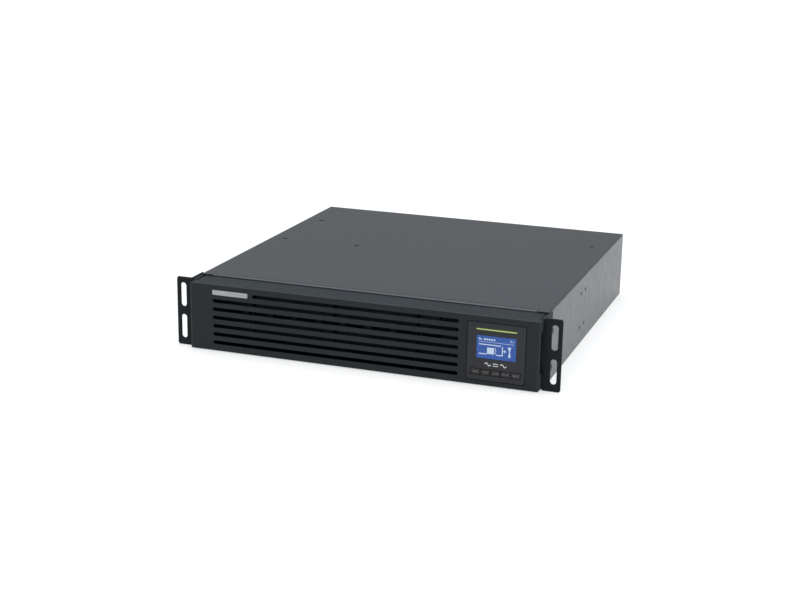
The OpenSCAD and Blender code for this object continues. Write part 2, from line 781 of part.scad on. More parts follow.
module power_transistors() color("#1a1b1c") from_rack_plane()
    for (x = transistor_x, i = [0 : 3])
        translate([x, heatsink_y[0] + 10 + i * transistor_pitch, board_top]) union() {
            translate([0, 0, 4]) cube([transistor_t, 16, 21]);
            for (k = [0 : 2]) translate([1.8, 3 + k * 4.5, 0]) cube([0.8, 1.2, 5]);
        }

module bus_capacitors() color("#23345c") from_rack_plane()
    for (i = [0 : 2], j = [0 : 1])
        translate([-6 + i * capacitor_pitch, 272 + j * capacitor_pitch, board_top]) difference() {
            cylinder(h = capacitor_h, r = capacitor_r);
            for (a = [45, -45]) translate([0, 0, capacitor_h - 0.6]) rotate([0, 0, a])
                cube([capacitor_r * 4 / 3, 0.8, 2], center = true);
        }

module filter_chokes() color("#a5602a") from_rack_plane()
    for (x = choke_x)
        translate([x, choke_y, board_top + choke_r + 9]) rotate([90, 0, 0])
            rotate_extrude() translate([choke_r, 0]) round_rect(16, 20, 4);

module relays() color("#d6d8d4") from_rack_plane()
    for (i = [0 : 3])
        translate([96 + i * relay_pitch, 344, board_top]) cube([12.6, 29, 25]);

module display_ribbon() color("#8c8f91") from_rack_plane() union() {
    x = [display_x - ribbon_w / 2, display_x + ribbon_w / 2];
    z = display_z + 24;
    block(x, ribbon_y, [z, z + ribbon_t]);
    block(x, [ribbon_y[1] - ribbon_t, ribbon_y[1]], [board_top + 9.4, z + ribbon_t]);
    block(x, [ribbon_y[0], ribbon_y[0] + 6], [z - 4, z + 0.5]);
    block([x[0], x[0] + 7], [ribbon_y[1] - ribbon_t, ribbon_y[1] + 7], [board_top + 9.2, board_top + 13]);
}

// ---- Fans ----

module fan_frame(x) color("#17181a") from_rack_plane() difference() {
    union() {
        along_y(fan_y, fan_y + fan_d) at_xz(x, fan_z) difference() {
            round_rect(fan_w, fan_w, 4);
            circle(fan_bore_r);
        }
        along_y(fan_y, fan_y + strut_d) at_xz(x, fan_z) {
            circle(hub_r);
            for (a = [20 : 90 : 290]) rotate([0, 0, a])
                translate([0, -strut_d / 2]) square([fan_bore_r + 1, strut_d]);
        }
        hole_y(x, fan_z, 3 * shaft_r, fan_y + 2, fan_y + 16);
    }
    for (a = [-1, 1], b = [-1, 1])
        hole_y(x + a * fan_holes / 2, fan_z + b * fan_holes / 2, 1.6, fan_y - 1, fan_y + fan_d + 1);
    hole_y(x, fan_z, shaft_r + shaft_gap, fan_y + strut_d / 2, fan_y + 20);
}

module fan_frame_left() fan_frame(fan_x[0]);

module fan_frame_right() fan_frame(fan_x[1]);

// A round bar along Y, from y0 to y1
module bar_y(r, y0, y1) rotate([-90, 0, 0]) translate([0, 0, y0]) cylinder(h = y1 - y0, r = r);

module fan_rotor(x) color("#222426") from_rack_plane() translate([x, fan_y, fan_z]) union() {
    front = strut_d + 1;
    back = front + 19;
    difference() {
        bar_y(hub_r, front, back);
        bar_y(hub_r - 1.8, front - 1, back - 3);
    }
    bar_y(shaft_r, strut_d, back - 2);
    intersection() {
        bar_y(blade_tip_r, front + 0.4, back - 0.6);
        for (i = [0 : blades - 1]) rotate([0, i * 360 / blades, 0])
            translate([hub_r - 0.6, (front + back) / 2 - 0.1, 0]) rotate([blade_tilt, 0, 0])
                translate([0, -13, -0.8]) cube([fan_bore_r, 26, 1.6]);
    }
}

module fan_rotor_left() fan_rotor(fan_x[0]);

module fan_rotor_right() fan_rotor(fan_x[1]);

module ring_y(r, y, wire)
    translate([0, y, 0]) rotate([90, 0, 0])
        rotate_extrude() translate([r, 0]) circle(wire);

module fan_guard(x) color("#c4c8ca") from_rack_plane() translate([x, case_d, fan_z]) union() {
    corner = fan_holes / 2 * sqrt(2);
    eye_r = 3.2;
    inner_r = 3;
    for (r = [inner_r : ring_step : fan_bore_r]) ring_y(r, 3 * wire_r, wire_r);
    for (a = [45 : 90 : 315]) rotate([0, a, 0]) {
        translate([inner_r, 1.3, 0]) rotate([0, 90, 0])
            cylinder(h = corner - inner_r - eye_r - wire_r / 2, r = wire_r);
        translate([corner, 0, 0]) ring_y(eye_r, 1.1, wire_r);
    }
}

module fan_guard_left() fan_guard(fan_x[0]);

module fan_guard_right() fan_guard(fan_x[1]);

// ---- Sockets and controls at the back ----

module ac_inlet() color("#17181a") from_rack_plane() difference() {
    union() {
        along_y(case_d, case_d + 3) at_xz(inlet_x, inlet_z) round_rect(50, 27, 5);
        along_y(case_d - 26, case_d + eps) at_xz(inlet_x, inlet_z) square(inlet_size, center = true);
    }
    along_y(case_d - 17, case_d + 4) at_xz(inlet_x, inlet_z) round_rect(29.6, 19.6, 3);
    for (s = [-1, 1]) hole_y(inlet_x + s * inlet_screw_dx, inlet_z, 1.7, case_d - 1, case_d + 4);
    for (p = inlet_pin_spots)
        block([inlet_x + p[0] - 1.1, inlet_x + p[0] + 1.1], [case_d - 30, case_d - 10],
            [inlet_z + p[1] - 4.1, inlet_z + p[1] + 4.1]);
}

module inlet_pins() color("#c2a24a") from_rack_plane()
    for (p = inlet_pin_spots)
        block([inlet_x + p[0] - 1, inlet_x + p[0] + 1], [case_d - 32, case_d - 2],
            [inlet_z + p[1] - 4, inlet_z + p[1] + 4]);

module outlet_2d() {
    difference() {
        round_rect(25.4, 19.6, 3);
        round_rect(21.4, 15.6, 2.4);
    }
    for (p = [[-7, 2.4], [7, 2.4], [0, -2.6]]) translate(p) square([1.8, 5.2], center = true);
}

module outlet_blocks() color("#17181a") from_rack_plane() for (z = outlet_z) difference() {
    union() {
        along_y(case_d, case_d + 2) at_xz(outlet_x, z)
            square([4 * outlet_pitch + 3, outlet_h + 2.6], center = true);
        along_y(case_d - 24, case_d + eps) at_xz(outlet_x, z)
            square([4 * outlet_pitch, outlet_h], center = true);
    }
    along_y(case_d - 15, case_d + 3) for (i = [0 : 3])
        at_xz(outlet_x + (i - 1.5) * outlet_pitch, z) outlet_2d();
}

module circuit_breaker() color("#202224") from_rack_plane() difference() {
    union() {
        block([breaker_x - 8, breaker_x + 8], [case_d - 36, inner_y], [breaker_z - 14, breaker_z + 14]);
        hole_y(breaker_x, breaker_z, breaker_neck_r, inner_y - 1, case_d + 3.4);
        along_y(case_d, case_d + 2.2) at_xz(breaker_x, breaker_z) circle(r = 9, $fn = 6);
    }
    hole_y(breaker_x, breaker_z, breaker_r + shaft_gap, case_d - 20, case_d + 4);
}

module breaker_button() color("#b3261e") from_rack_plane() union() {
    hole_y(breaker_x, breaker_z, breaker_r, case_d - 18, case_d + 4.4);
    hole_y(breaker_x, breaker_z, breaker_r - 0.6, case_d + 4.4 - eps, case_d + 5);
}

module shell_d(w, h) polygon([[-w / 2, h / 2], [w / 2, h / 2], [w / 2 - h * 0.18, -h / 2],
    [-w / 2 + h * 0.18, -h / 2]]);

module serial_port() color("#b9bdbf") from_rack_plane() difference() {
    union() {
        along_y(case_d, case_d + 0.8) at_xz(serial_x, port_z) round_rect(31, 12.5, 1.5);
        along_y(case_d, case_d + 6) at_xz(serial_x, port_z) shell_d(18, 9);
        along_y(case_d - 10, case_d + eps) at_xz(serial_x, port_z) square(serial_size, center = true);
        for (s = [-1, 1]) along_y(case_d, case_d + 5) at_xz(serial_x + s * serial_screw_dx, port_z)
            circle(r = 2.7, $fn = 6);
    }
    along_y(case_d + 0.5, case_d + 7) at_xz(serial_x, port_z) shell_d(17, 8);
    for (s = [-1, 1]) hole_y(serial_x + s * serial_screw_dx, port_z, 1.3, case_d - 1, case_d + 6);
    for (i = [-2 : 2]) hole_y(serial_x + i * 2.7, port_z + 1.4, 0.5, case_d - 3, case_d + 1);
    for (i = [-1.5 : 1.5]) hole_y(serial_x + i * 2.7, port_z - 1.4, 0.5, case_d - 3, case_d + 1);
}

module usb_port() color("#b9bdbf") from_rack_plane() union() {
    difference() {
        along_y(case_d - 15, case_d + 1) at_xz(usb_x, port_z) square(usb_size, center = true);
        along_y(case_d - 10, case_d + 2) at_xz(usb_x, port_z) polygon([[-4.3, -3.9], [4.3, -3.9],
            [4.3, 2.2], [2.6, 3.9], [-2.6, 3.9], [-4.3, 2.2]]);
    }
    along_y(case_d - 11, case_d - 1.5) at_xz(usb_x, port_z) square([5.6, 2.6], center = true);
}

module network_jacks() color("#1a1b1c") from_rack_plane() difference() {
    along_y(case_d - 16, case_d + 1) at_xz(jack_x, jack_z) square(jack_size, center = true);
    along_y(case_d - 12, case_d + 2) for (s = [-1, 1]) at_xz(jack_x + s * 7.6, jack_z) {
        translate([0, 0.8]) square([11.8, 7.6], center = true);
        translate([0, -4.2]) square([6, 3], center = true);
    }
}

module shutdown_terminal() color("#2f7d46") from_rack_plane() difference() {
    along_y(case_d - 12, case_d + 3) at_xz(shutdown_x, port_z) square(shutdown_size, center = true);
    along_y(case_d - 4, case_d + 4) for (s = [-1, 1]) at_xz(shutdown_x + s * 2.8, port_z) {
        translate([0, -2]) square([3.8, 3], center = true);
        translate([0, 2.4]) circle(1.6);
    }
}

module slot_cover() color("#4b5053") from_rack_plane() difference() {
    along_y(case_d, case_d + sheet) at_xz(bay_cover_x, bay_cover_z) round_rect(82, 27, 1.5);
    for (s = [-1, 1]) hole_y(bay_cover_x + s * bay_cover_screw_dx, bay_cover_z, 1.8, case_d - 1, case_d + 3);
}

module battery_socket() color("#3f4346") from_rack_plane() difference() {
    union() {
        along_y(case_d, case_d + 2) at_xz(socket_x, socket_z) round_rect(42, 22, 2);
        along_y(case_d - 24, case_d + eps) at_xz(socket_x, socket_z) square(socket_size, center = true);
    }
    along_y(case_d - 16, case_d + 3) for (s = [-1, 1]) at_xz(socket_x + s * 8.6, socket_z) {
        round_rect(13.6, 12, 1.5);
    }
}

module earth_stud() color("#c9cdcf") from_rack_plane() union() {
    hole_y(stud_x, stud_z, stud_r, case_d - 8, case_d + rear_out);
    along_y(case_d, case_d + 3) at_xz(stud_x, stud_z) circle(r = nut_r, $fn = 6);
    along_y(case_d - sheet - 3.1, inner_y) at_xz(stud_x, stud_z) circle(r = nut_r, $fn = 6);
}

module panel_screws() color("#b4b8ba") from_rack_plane() {
    for (x = fan_x, a = [-1, 1], b = [-1, 1])
        translate([x + a * fan_holes / 2, case_d + 2, fan_z + b * fan_holes / 2])
            rotate([-90, 0, 0]) pan_screw(1.5, 12, 3.4, 2);
    for (s = [-1, 1]) translate([inlet_x + s * inlet_screw_dx, case_d + 3, inlet_z])
        rotate([-90, 0, 0]) pan_screw(1.5, 12, 3.4, 2);
}

chassis_base();
top_cover();
front_frame();
rear_panel();
ear_left();
ear_right();
ear_screws();
cover_screws();
panel_screws();
thumb_screws();
partition_wall();
battery_tray();
battery_1();
battery_2();
battery_3();
battery_4();
battery_links();
battery_plug();
battery_retainer();
pull_strap();
power_board();
control_board();
board_standoffs();
inverter_heatsink();
rectifier_heatsink();
power_transistors();
bus_capacitors();
filter_chokes();
relays();
display_ribbon();
fan_frame_left();
fan_frame_right();
fan_guard_left();
fan_guard_right();
fan_rotor_left();
fan_rotor_right();
ac_inlet();
inlet_pins();
outlet_blocks();
circuit_breaker();
breaker_button();
serial_port();
usb_port();
network_jacks();
shutdown_terminal();
slot_cover();
battery_socket();
earth_stud();
bezel();
nameplate();
display_housing();
display_face();
lcd_panel();
light_bar();
display_board();
key_1();
key_2();
key_3();
key_4();
key_5();
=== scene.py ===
"""The looks of a rack-mounted uninterruptible power supply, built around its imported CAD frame.

Everything is in metres. X runs to the right seen from the front, Y to the back and Z up.
"""
import json
import math

import bmesh
import bpy
from mathutils import Matrix, Quaternion, Vector

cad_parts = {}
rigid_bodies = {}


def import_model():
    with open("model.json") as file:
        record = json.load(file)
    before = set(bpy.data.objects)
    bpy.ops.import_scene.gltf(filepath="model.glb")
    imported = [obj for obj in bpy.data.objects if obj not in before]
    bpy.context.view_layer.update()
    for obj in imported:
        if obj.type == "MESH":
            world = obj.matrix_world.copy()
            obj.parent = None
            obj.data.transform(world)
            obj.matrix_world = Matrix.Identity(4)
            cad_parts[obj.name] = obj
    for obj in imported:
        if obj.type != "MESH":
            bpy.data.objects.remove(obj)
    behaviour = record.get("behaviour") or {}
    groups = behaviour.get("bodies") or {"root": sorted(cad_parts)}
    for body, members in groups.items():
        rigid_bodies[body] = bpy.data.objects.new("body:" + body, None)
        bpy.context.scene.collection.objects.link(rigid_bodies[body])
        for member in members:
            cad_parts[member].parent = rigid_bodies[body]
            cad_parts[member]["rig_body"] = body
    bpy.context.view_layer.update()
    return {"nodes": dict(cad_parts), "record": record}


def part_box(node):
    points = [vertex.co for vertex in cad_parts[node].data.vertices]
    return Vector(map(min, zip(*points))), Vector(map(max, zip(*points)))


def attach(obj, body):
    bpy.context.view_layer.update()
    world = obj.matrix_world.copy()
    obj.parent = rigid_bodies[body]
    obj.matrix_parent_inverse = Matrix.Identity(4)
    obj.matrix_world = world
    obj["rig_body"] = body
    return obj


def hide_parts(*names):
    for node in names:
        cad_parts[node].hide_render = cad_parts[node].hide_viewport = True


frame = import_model()

MM = 0.001
NODES = frame["nodes"]
RACK_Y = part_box("ear_left")[0].y


def body_of(node):
    """The body a CAD node moves with."""
    return NODES[node]["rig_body"]


def slot_of(node):
    """The material slot the record gives a CAD node."""
    return next(s["material_slot"] for s in frame["record"]["subparts"] if s["node"] == node)


# ---------------------------------------------------------------- materials

class Look:
    """A material with a Principled shader, and the nodes that feed it."""

    def __init__(self, name, colour, rough=0.5, metal=0.0, specular=0.5):
        self.material = bpy.data.materials.new(name)
        self.material.use_nodes = True
        self.tree = self.material.node_tree
        self.shader = self.tree.nodes["Principled BSDF"]
        self.colour = colour
        self.set("Base Color", (*colour, 1))
        self.set("Roughness", rough)
        self.set("Metallic", metal)
        self.set("Specular IOR Level", specular)
        self.place = self.tree.nodes.new("ShaderNodeTexCoord").outputs["Object"]

    def set(self, socket, value):
        self.shader.inputs[socket].default_value = value

    def link(self, out, socket):
        self.tree.links.new(out, socket)

    def node(self, kind, **settings):
        made = self.tree.nodes.new(kind)
        for key, value in settings.items():
            setattr(made, key, value)
        return made

    def stretched(self, stretch):
        mapping = self.node("ShaderNodeMapping")
        mapping.inputs["Scale"].default_value = stretch
        self.link(self.place, mapping.inputs["Vector"])
        return mapping.outputs["Vector"]

    def noise(self, scale, detail=3, stretch=(1, 1, 1)):
        made = self.node("ShaderNodeTexNoise")
        made.inputs["Scale"].default_value = scale
        made.inputs["Detail"].default_value = detail
        self.link(self.stretched(stretch), made.inputs["Vector"])
        return made.outputs["Fac"]

    def cells(self, scale, stretch=(1, 1, 1), out="Distance"):
        made = self.node("ShaderNodeTexVoronoi", feature="F1")
        made.inputs["Scale"].default_value = scale
        self.link(self.stretched(stretch), made.inputs["Vector"])
        return made.outputs[out]

    def waves(self, scale, axis):
        made = self.node("ShaderNodeTexWave", bands_direction=axis, wave_profile="SIN")
        made.inputs["Scale"].default_value = scale
        self.link(self.place, made.inputs["Vector"])
        return made.outputs["Fac"]

    def spread(self, value, low, high, start=0.3, end=0.7):
        """A value from start to end, mapped to one from low to high."""
        made = self.node("ShaderNodeMapRange")
        ends = (("From Min", start), ("From Max", end), ("To Min", low), ("To Max", high))
        for key, number in ends:
            made.inputs[key].default_value = number
        self.link(value, made.inputs["Value"])
        return made.outputs["Result"]

    def blend(self, share, first, second):
        """A colour between two, by share. Each may be a colour or an output."""
        made = self.node("ShaderNodeMix", data_type="RGBA")
        self.link(share, made.inputs["Factor"])
        for key, value in (("A", first), ("B", second)):
            socket = next(i for i in made.inputs if i.name == key and i.type == "RGBA")
            if isinstance(value, tuple):
                socket.default_value = (*value, 1)
            else:
                self.link(value, socket)
        return next(o for o in made.outputs if o.type == "RGBA")

    def tone(self, share, low, high, start=0.3, end=0.7):
        """Varies the base colour between low and high times itself, by share."""
        dark = tuple(c * low for c in self.colour)
        light = tuple(min(1, c * high) for c in self.colour)
        out = self.blend(self.spread(share, 0, 1, start, end), dark, light)
        self.link(out, self.shader.inputs["Base Color"])
        return out

    def rough(self, share, low, high):
        self.link(self.spread(share, low, high), self.shader.inputs["Roughness"])

    def bump(self, *layers):
        """Adds bumps one over the other. Each layer is (height, depth in metres, strength)."""
        before = None
        for height, depth, strength in layers:
            made = self.node("ShaderNodeBump")
            made.inputs["Distance"].default_value = depth
            made.inputs["Strength"].default_value = strength
            self.link(height, made.inputs["Height"])
            if before:
                self.link(before, made.inputs["Normal"])
            before = made.outputs["Normal"]
        self.link(before, self.shader.inputs["Normal"])
        return self


def powder_coat(name, colour, rough=0.33, specular=0.5):
    """Paint baked on steel: an even colour with a fine orange peel and faint handling marks."""
    look = Look(name, colour, rough, specular=specular)
    look.set("Specular Tint", (*COOL_SHEEN, 1))
    look.tone(look.noise(9, 4), 0.975, 1.025)
    look.rough(look.noise(60, 5), rough - 0.02, rough + 0.03)
    return look.bump(
        (look.noise(1700, 2), 0.06 * MM, 0.12),
        (look.noise(5000, 1), 0.02 * MM, 0.1),
    ).material


def worn_and_highlit_edge(name, colour, rough=0.36):
    """The same paint along an edge: lighter all along, a painted highlight, with small rubbed spots
    of real wear.
    """
    look = Look(name, colour, rough)
    rubbed = look.spread(look.noise(420, 5), 0, 1, 0.52, 0.66)
    lighter = tuple(min(1, c * 1.25 + 0.004) for c in colour)
    worn = tuple(min(1, c * 1.9 + 0.02) for c in colour)
    look.link(look.blend(rubbed, lighter, worn), look.shader.inputs["Base Color"])
    look.rough(look.noise(300), rough - 0.06, rough + 0.06)
    return look.bump((look.noise(1700, 2), 0.05 * MM, 0.15)).material


def moulded(name, colour, rough=0.55, grain=1300, depth=0.05, specular=0.2):
    """Moulded plastic with the fine spark texture of its tool."""
    look = Look(name, colour, rough, specular=specular)
    look.tone(look.noise(14, 3), 0.93, 1.07)
    look.rough(look.noise(90, 4), rough - 0.03, rough + 0.04)
    return look.bump(
        (look.cells(grain), depth * MM, 0.2),
        (look.noise(grain * 2.2, 2), depth * 0.6 * MM, 0.2),
    ).material


def steel(name, colour, rough=0.32, along=(1, 1, 1), spangle=0):
    """Bare or zinc-plated steel: drawn lines, or spangles, over a metal."""
    look = Look(name, colour, rough, metal=1.0)
    lines = look.noise(700, 3, along)
    if spangle:
        look.tone(look.cells(spangle, out="Color"), 0.82, 1.1, 0, 1)
    else:
        look.tone(lines, 0.88, 1.08)
    look.rough(look.noise(150, 4, along), rough - 0.08, rough + 0.12)
    return look.bump((lines, 0.02 * MM, 0.35)).material


def lamp(name, colour, strength, grid=0):
    """A lit plastic, with a little of the room's light on top. A grid draws a display's dots."""
    look = Look(name, tuple(c * 0.12 for c in colour), 0.25)
    look.tone(look.noise(60, 2), 0.92, 1.08)
    dimmer = tuple(c * 0.9 for c in colour)
    glow = look.blend(look.spread(look.noise(35, 2), 0, 1), dimmer, colour)
    if grid:
        for axis in ("X", "Z"):
            gap = look.spread(look.waves(grid, axis), 0, 0.03, 0.85, 1)
            glow = look.blend(gap, glow, (0.0, 0.0, 0.0))
    look.link(glow, look.shader.inputs["Emission Color"])
    look.set("Emission Strength", strength)
    return look.bump((look.noise(900, 1), 0.01 * MM, 0.2)).material


def circuit(name, colour):
    """A circuit board: solder resist with tracks under it, and small tinned pads."""
    look = Look(name, colour, 0.35)
    flat = (1, 1, 0.02)
    tracks = look.cells(190, flat)
    pads = look.cells(240, flat)
    lighter = tuple(c * 1.7 for c in colour)
    base = look.blend(look.spread(tracks, 0, 1, 0.35, 0.45), colour, lighter)
    shown = look.blend(look.spread(pads, 1, 0, 0.1, 0.13), base, (0.55, 0.5, 0.32))
    look.link(shown, look.shader.inputs["Base Color"])
    return look.bump((tracks, 0.03 * MM, 0.4)).material


def striped(name, first, second, scale, axis, rough, metal=0.0):
    """Two colours in bands, for ribbons, windings and sleeves."""
    look = Look(name, first, rough, metal=metal)
    bands = look.waves(scale, axis)
    mixed = look.blend(look.spread(bands, 0, 1, 0.4, 0.6), first, second)
    look.link(mixed, look.shader.inputs["Base Color"])
    look.rough(look.noise(200), rough - 0.08, rough + 0.08)
    return look.bump((bands, 0.15 * MM, 0.5), (look.noise(1500), 0.02 * MM, 0.3)).material


def woven(name, colour):
    """Flat webbing, woven over and under."""
    look = Look(name, colour, 0.9)
    mixed = look.node("ShaderNodeMath", operation="MULTIPLY")
    for place, axis in enumerate(("X", "Z")):
        look.link(look.waves(260, axis), mixed.inputs[place])
    weave = mixed.outputs["Value"]
    look.tone(weave, 0.6, 2.2, 0.1, 0.8)
    look.set("Sheen Weight", 0.3)
    return look.bump((weave, 0.2 * MM, 0.7)).material


def clear_window(name):
    """A thin clear window with a faint smoky tint."""
    look = Look(name, (0.03, 0.035, 0.05), 0.1, specular=0.4)
    look.tone(look.noise(30, 2), 0.8, 1.2)
    look.set("Alpha", 0.1)
    look.rough(look.noise(40, 2), 0.07, 0.14)
    return look.material


CASE = (0.036, 0.0415, 0.0470)
BEZEL = (0.0152, 0.0205, 0.0242)
EAR = (0.0125, 0.0155, 0.0175)
FACE = (0.033, 0.0335, 0.0385)
SLEEVE = (0.012, 0.02, 0.07)
SLEEVE_BAND = (0.02, 0.03, 0.09)
COPPER = (0.5, 0.19, 0.06)
COPPER_GAP = (0.3, 0.1, 0.03)
RIBBON = (0.42, 0.43, 0.44)
RIBBON_GAP = (0.3, 0.31, 0.32)
COOL_SHEEN = (0.86, 0.89, 0.92)

LOOKS = {
    "case_paint": powder_coat("case_paint", CASE, specular=0.46),
    # The edge looks are lighter copies of their paints and plastics for the faces that round off
    # edges: a painted highlight, with spots of real wear on the paints.
    "case_edge_wear_and_highlight": worn_and_highlit_edge("case_edge_wear_and_highlight", CASE),
    "ear_paint": powder_coat("ear_paint", EAR, 0.62, 0.15),
    "ear_edge_wear_and_highlight": worn_and_highlit_edge("ear_edge_wear_and_highlight", EAR, 0.45),
    "bezel_plastic": moulded("bezel_plastic", BEZEL, 0.5),
    "bezel_edge_highlight": moulded("bezel_edge_highlight", tuple(c * 1.25 for c in BEZEL), 0.42),
    "display_plastic": moulded("display_plastic", FACE, 0.48, 1700, 0.03),
    "display_edge_highlight": moulded("display_edge_highlight", tuple(c * 1.3 for c in FACE), 0.4, 1700, 0.03),
    "key_plastic": moulded("key_plastic", (0.034, 0.031, 0.033), 0.42, 1900, 0.03),
    "key_edge_highlight": moulded("key_edge_highlight", (0.06, 0.056, 0.06), 0.4, 1900, 0.03),
    "zinc_steel": steel("zinc_steel", (0.52, 0.54, 0.55), 0.38, spangle=120),
    "bright_screw": steel("bright_screw", (0.62, 0.64, 0.65), 0.28),
    "black_screw": powder_coat("black_screw", (0.008, 0.009, 0.010), 0.5, 0.2),
    # Near black for the inside of the bezel: painted shade, so the louvre slots read dark.
    "bezel_inside_shade": moulded("bezel_inside_shade", (0.004, 0.0045, 0.005), 0.7, specular=0.05),
    "wire_chrome": steel("wire_chrome", (0.66, 0.68, 0.69), 0.18),
    "port_steel": steel("port_steel", (0.6, 0.61, 0.6), 0.3, (1, 8, 1)),
    "badge_metal": steel("badge_metal", (0.40, 0.41, 0.42), 0.42, (0.05, 1, 1.6)),
    "heatsink_aluminium": steel("heatsink_aluminium", (0.66, 0.68, 0.69), 0.36, (1, 0.05, 1)),
    "brass": steel("brass", (0.62, 0.44, 0.16), 0.3, (1, 1, 0.2)),
    "battery_plastic": moulded("battery_plastic", (0.016, 0.018, 0.021), 0.5, 700, 0.08),
    "wire_plastic": moulded("wire_plastic", (0.3, 0.014, 0.01), 0.4, 2500, 0.01),
    # The plug and socket plastic is darkened close to black: partly its own colour, partly painted
    # shade where it shows through the louvres.
    "grey_plastic": moulded("grey_plastic", (0.018, 0.019, 0.021), 0.5, 900, 0.05),
    "fan_plastic": moulded("fan_plastic", (0.011, 0.012, 0.013), 0.42, 1500, 0.03),
    "socket_plastic": moulded("socket_plastic", (0.012, 0.013, 0.014), 0.36, 1500, 0.02),
    "button_red": moulded("button_red", (0.42, 0.016, 0.01), 0.35, 2200, 0.02),
    "terminal_green": moulded("terminal_green", (0.03, 0.21, 0.075), 0.4, 1800, 0.02),
    "chip_black": moulded("chip_black", (0.012, 0.012, 0.013), 0.55, 2600, 0.02),
    "relay_white": moulded("relay_white", (0.72, 0.73, 0.69), 0.4, 2000, 0.02),
    "circuit_green": circuit("circuit_green", (0.008, 0.085, 0.03)),
    "circuit_blue": circuit("circuit_blue", (0.008, 0.045, 0.12)),
    "capacitor_sleeve": striped("capacitor_sleeve", SLEEVE, SLEEVE_BAND, 4, "Z", 0.3),
    "copper_winding": striped("copper_winding", COPPER, COPPER_GAP, 210, "X", 0.32, metal=0.8),
    "ribbon_grey": striped("ribbon_grey", RIBBON, RIBBON_GAP, 250, "X", 0.5),
    "strap_fabric": woven("strap_fabric", (0.012, 0.012, 0.014)),
    "lcd_blue": lamp("lcd_blue", (0.022, 0.102, 0.44), 0.9, 330),
    "light_green": lamp("light_green", (0.15, 0.22, 0.015), 0.9),
    "light_core_glint": lamp("light_core_glint", (0.55, 0.62, 0.3), 0.9),
    "lcd_white": lamp("lcd_white", (0.62, 0.76, 0.94), 0.95),
    "print_white": moulded("print_white", (0.74, 0.75, 0.76), 0.55, 2500, 0.01),
    "print_grey": moulded("print_grey", (0.15, 0.146, 0.15), 0.5, 2500, 0.01),
    "window_clear": clear_window("window_clear"),
}
# The edge look each paint or plastic takes: its lighter copy, a painted highlight along the rounded
# edges.
EDGES = {"case_paint": "case_edge_wear_and_highlight", "ear_paint": "ear_edge_wear_and_highlight", "bezel_plastic": "bezel_edge_highlight",
         "display_plastic": "display_edge_highlight", "key_plastic": "key_edge_highlight"}


# ------------------------------------------------------------------- pieces

BEVEL_ANGLE = 32
SHARP_ANGLE = 38


def add_piece(name, mesh, body, slot, *looks):
    """Makes an object of a mesh, gives it materials and lets it ride on a body."""
    piece = bpy.data.objects.new(name, mesh)
    bpy.context.scene.collection.objects.link(piece)
    mesh.materials.clear()
    for look in looks:
        mesh.materials.append(LOOKS[look])
    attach(piece, body)
    return piece


def applied(piece):
    """Bakes a piece's modifiers into its mesh."""
    bpy.context.view_layer.update()
    graph = bpy.context.evaluated_depsgraph_get()
    mesh = bpy.data.meshes.new_from_object(piece.evaluated_get(graph))
    piece.modifiers.clear()
    piece.data = mesh
    mesh.name = piece.name
    return piece


def rounded(piece, width, segments=2, edge_highlight_index=0):
    """Breaks a piece's sharp edges, as tooling, bending or deburring leaves them. The faces this
    adds take the edge look given by index, lighter for a painted highlight.
    """
    bevel = piece.modifiers.new("edges", "BEVEL")
    bevel.width = width
    bevel.segments = segments
    bevel.limit_method = "ANGLE"
    bevel.angle_limit = math.radians(BEVEL_ANGLE)
    bevel.use_clamp_overlap = False
    # The faces the bevel adds take the lighter edge look: a painted highlight.
    bevel.material = edge_highlight_index
    bevel.harden_normals = False
    applied(piece)
    smooth(piece.data)
    even = piece.modifiers.new("flats", "WEIGHTED_NORMAL")
    even.weight = 100
    even.keep_sharp = True
    return applied(piece)


def smooth(mesh):
    """Shades a mesh smooth, but for its sharp edges."""
    for face in mesh.polygons:
        face.use_smooth = True
    mesh.set_sharp_from_angle(angle=math.radians(SHARP_ANGLE))


def cad_mesh(node, split_z=None, bend=None):
    """A copy of a CAD node's mesh with its flat faces whole again.

    split_z cuts it across at a height. bend is (test, radius), and rounds the edges whose ends
    both pass the test.
    """
    form = bmesh.new()
    form.from_mesh(NODES[node].data)
    bmesh.ops.remove_doubles(form, verts=form.verts, dist=0.002 * MM)
    bmesh.ops.dissolve_limit(form, angle_limit=math.radians(0.5), verts=form.verts, edges=form.edges)
    if split_z:
        whole = form.verts[:] + form.edges[:] + form.faces[:]
        bmesh.ops.bisect_plane(form, geom=whole, dist=0.001 * MM,
                               plane_co=(0, 0, split_z), plane_no=(0, 0, 1))
    if bend:
        on_bend, radius = bend
        edges = [e for e in form.edges if all(on_bend(v.co) for v in e.verts)]
        bmesh.ops.bevel(form, geom=edges, offset=radius, segments=6,
                        profile=0.5, affect="EDGES")
    mesh = bpy.data.meshes.new(node)
    form.to_mesh(mesh)
    form.free()
    return mesh


def tinted(piece, inside, *looks):
    """Gives the faces whose middle is inside a space other looks, one for each the piece has."""
    first = len(piece.data.materials)
    for look in looks:
        piece.data.materials.append(LOOKS[look])
    for face in piece.data.polygons:
        if inside(face.center):
            face.material_index = first + min(face.material_index, len(looks) - 1)


def finish_node(node, look, width, segments=2, split_z=None, bend=None):
    """Stands a piece with broken edges in for a CAD node; the broken edges take the lighter edge
    look, a painted highlight.
    """
    edge = EDGES.get(look, look)
    mesh = cad_mesh(node, split_z, bend)
    piece = add_piece(node + "_part", mesh, body_of(node), slot_of(node), look, edge)
    rounded(piece, width, segments, 1)
    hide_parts(node)
    return piece


def plain_node(node, look):
    """Gives a CAD node that keeps its shape its material."""
    mesh = NODES[node].data
    mesh.materials.clear()
    mesh.materials.append(LOOKS[look])
    smooth(mesh)


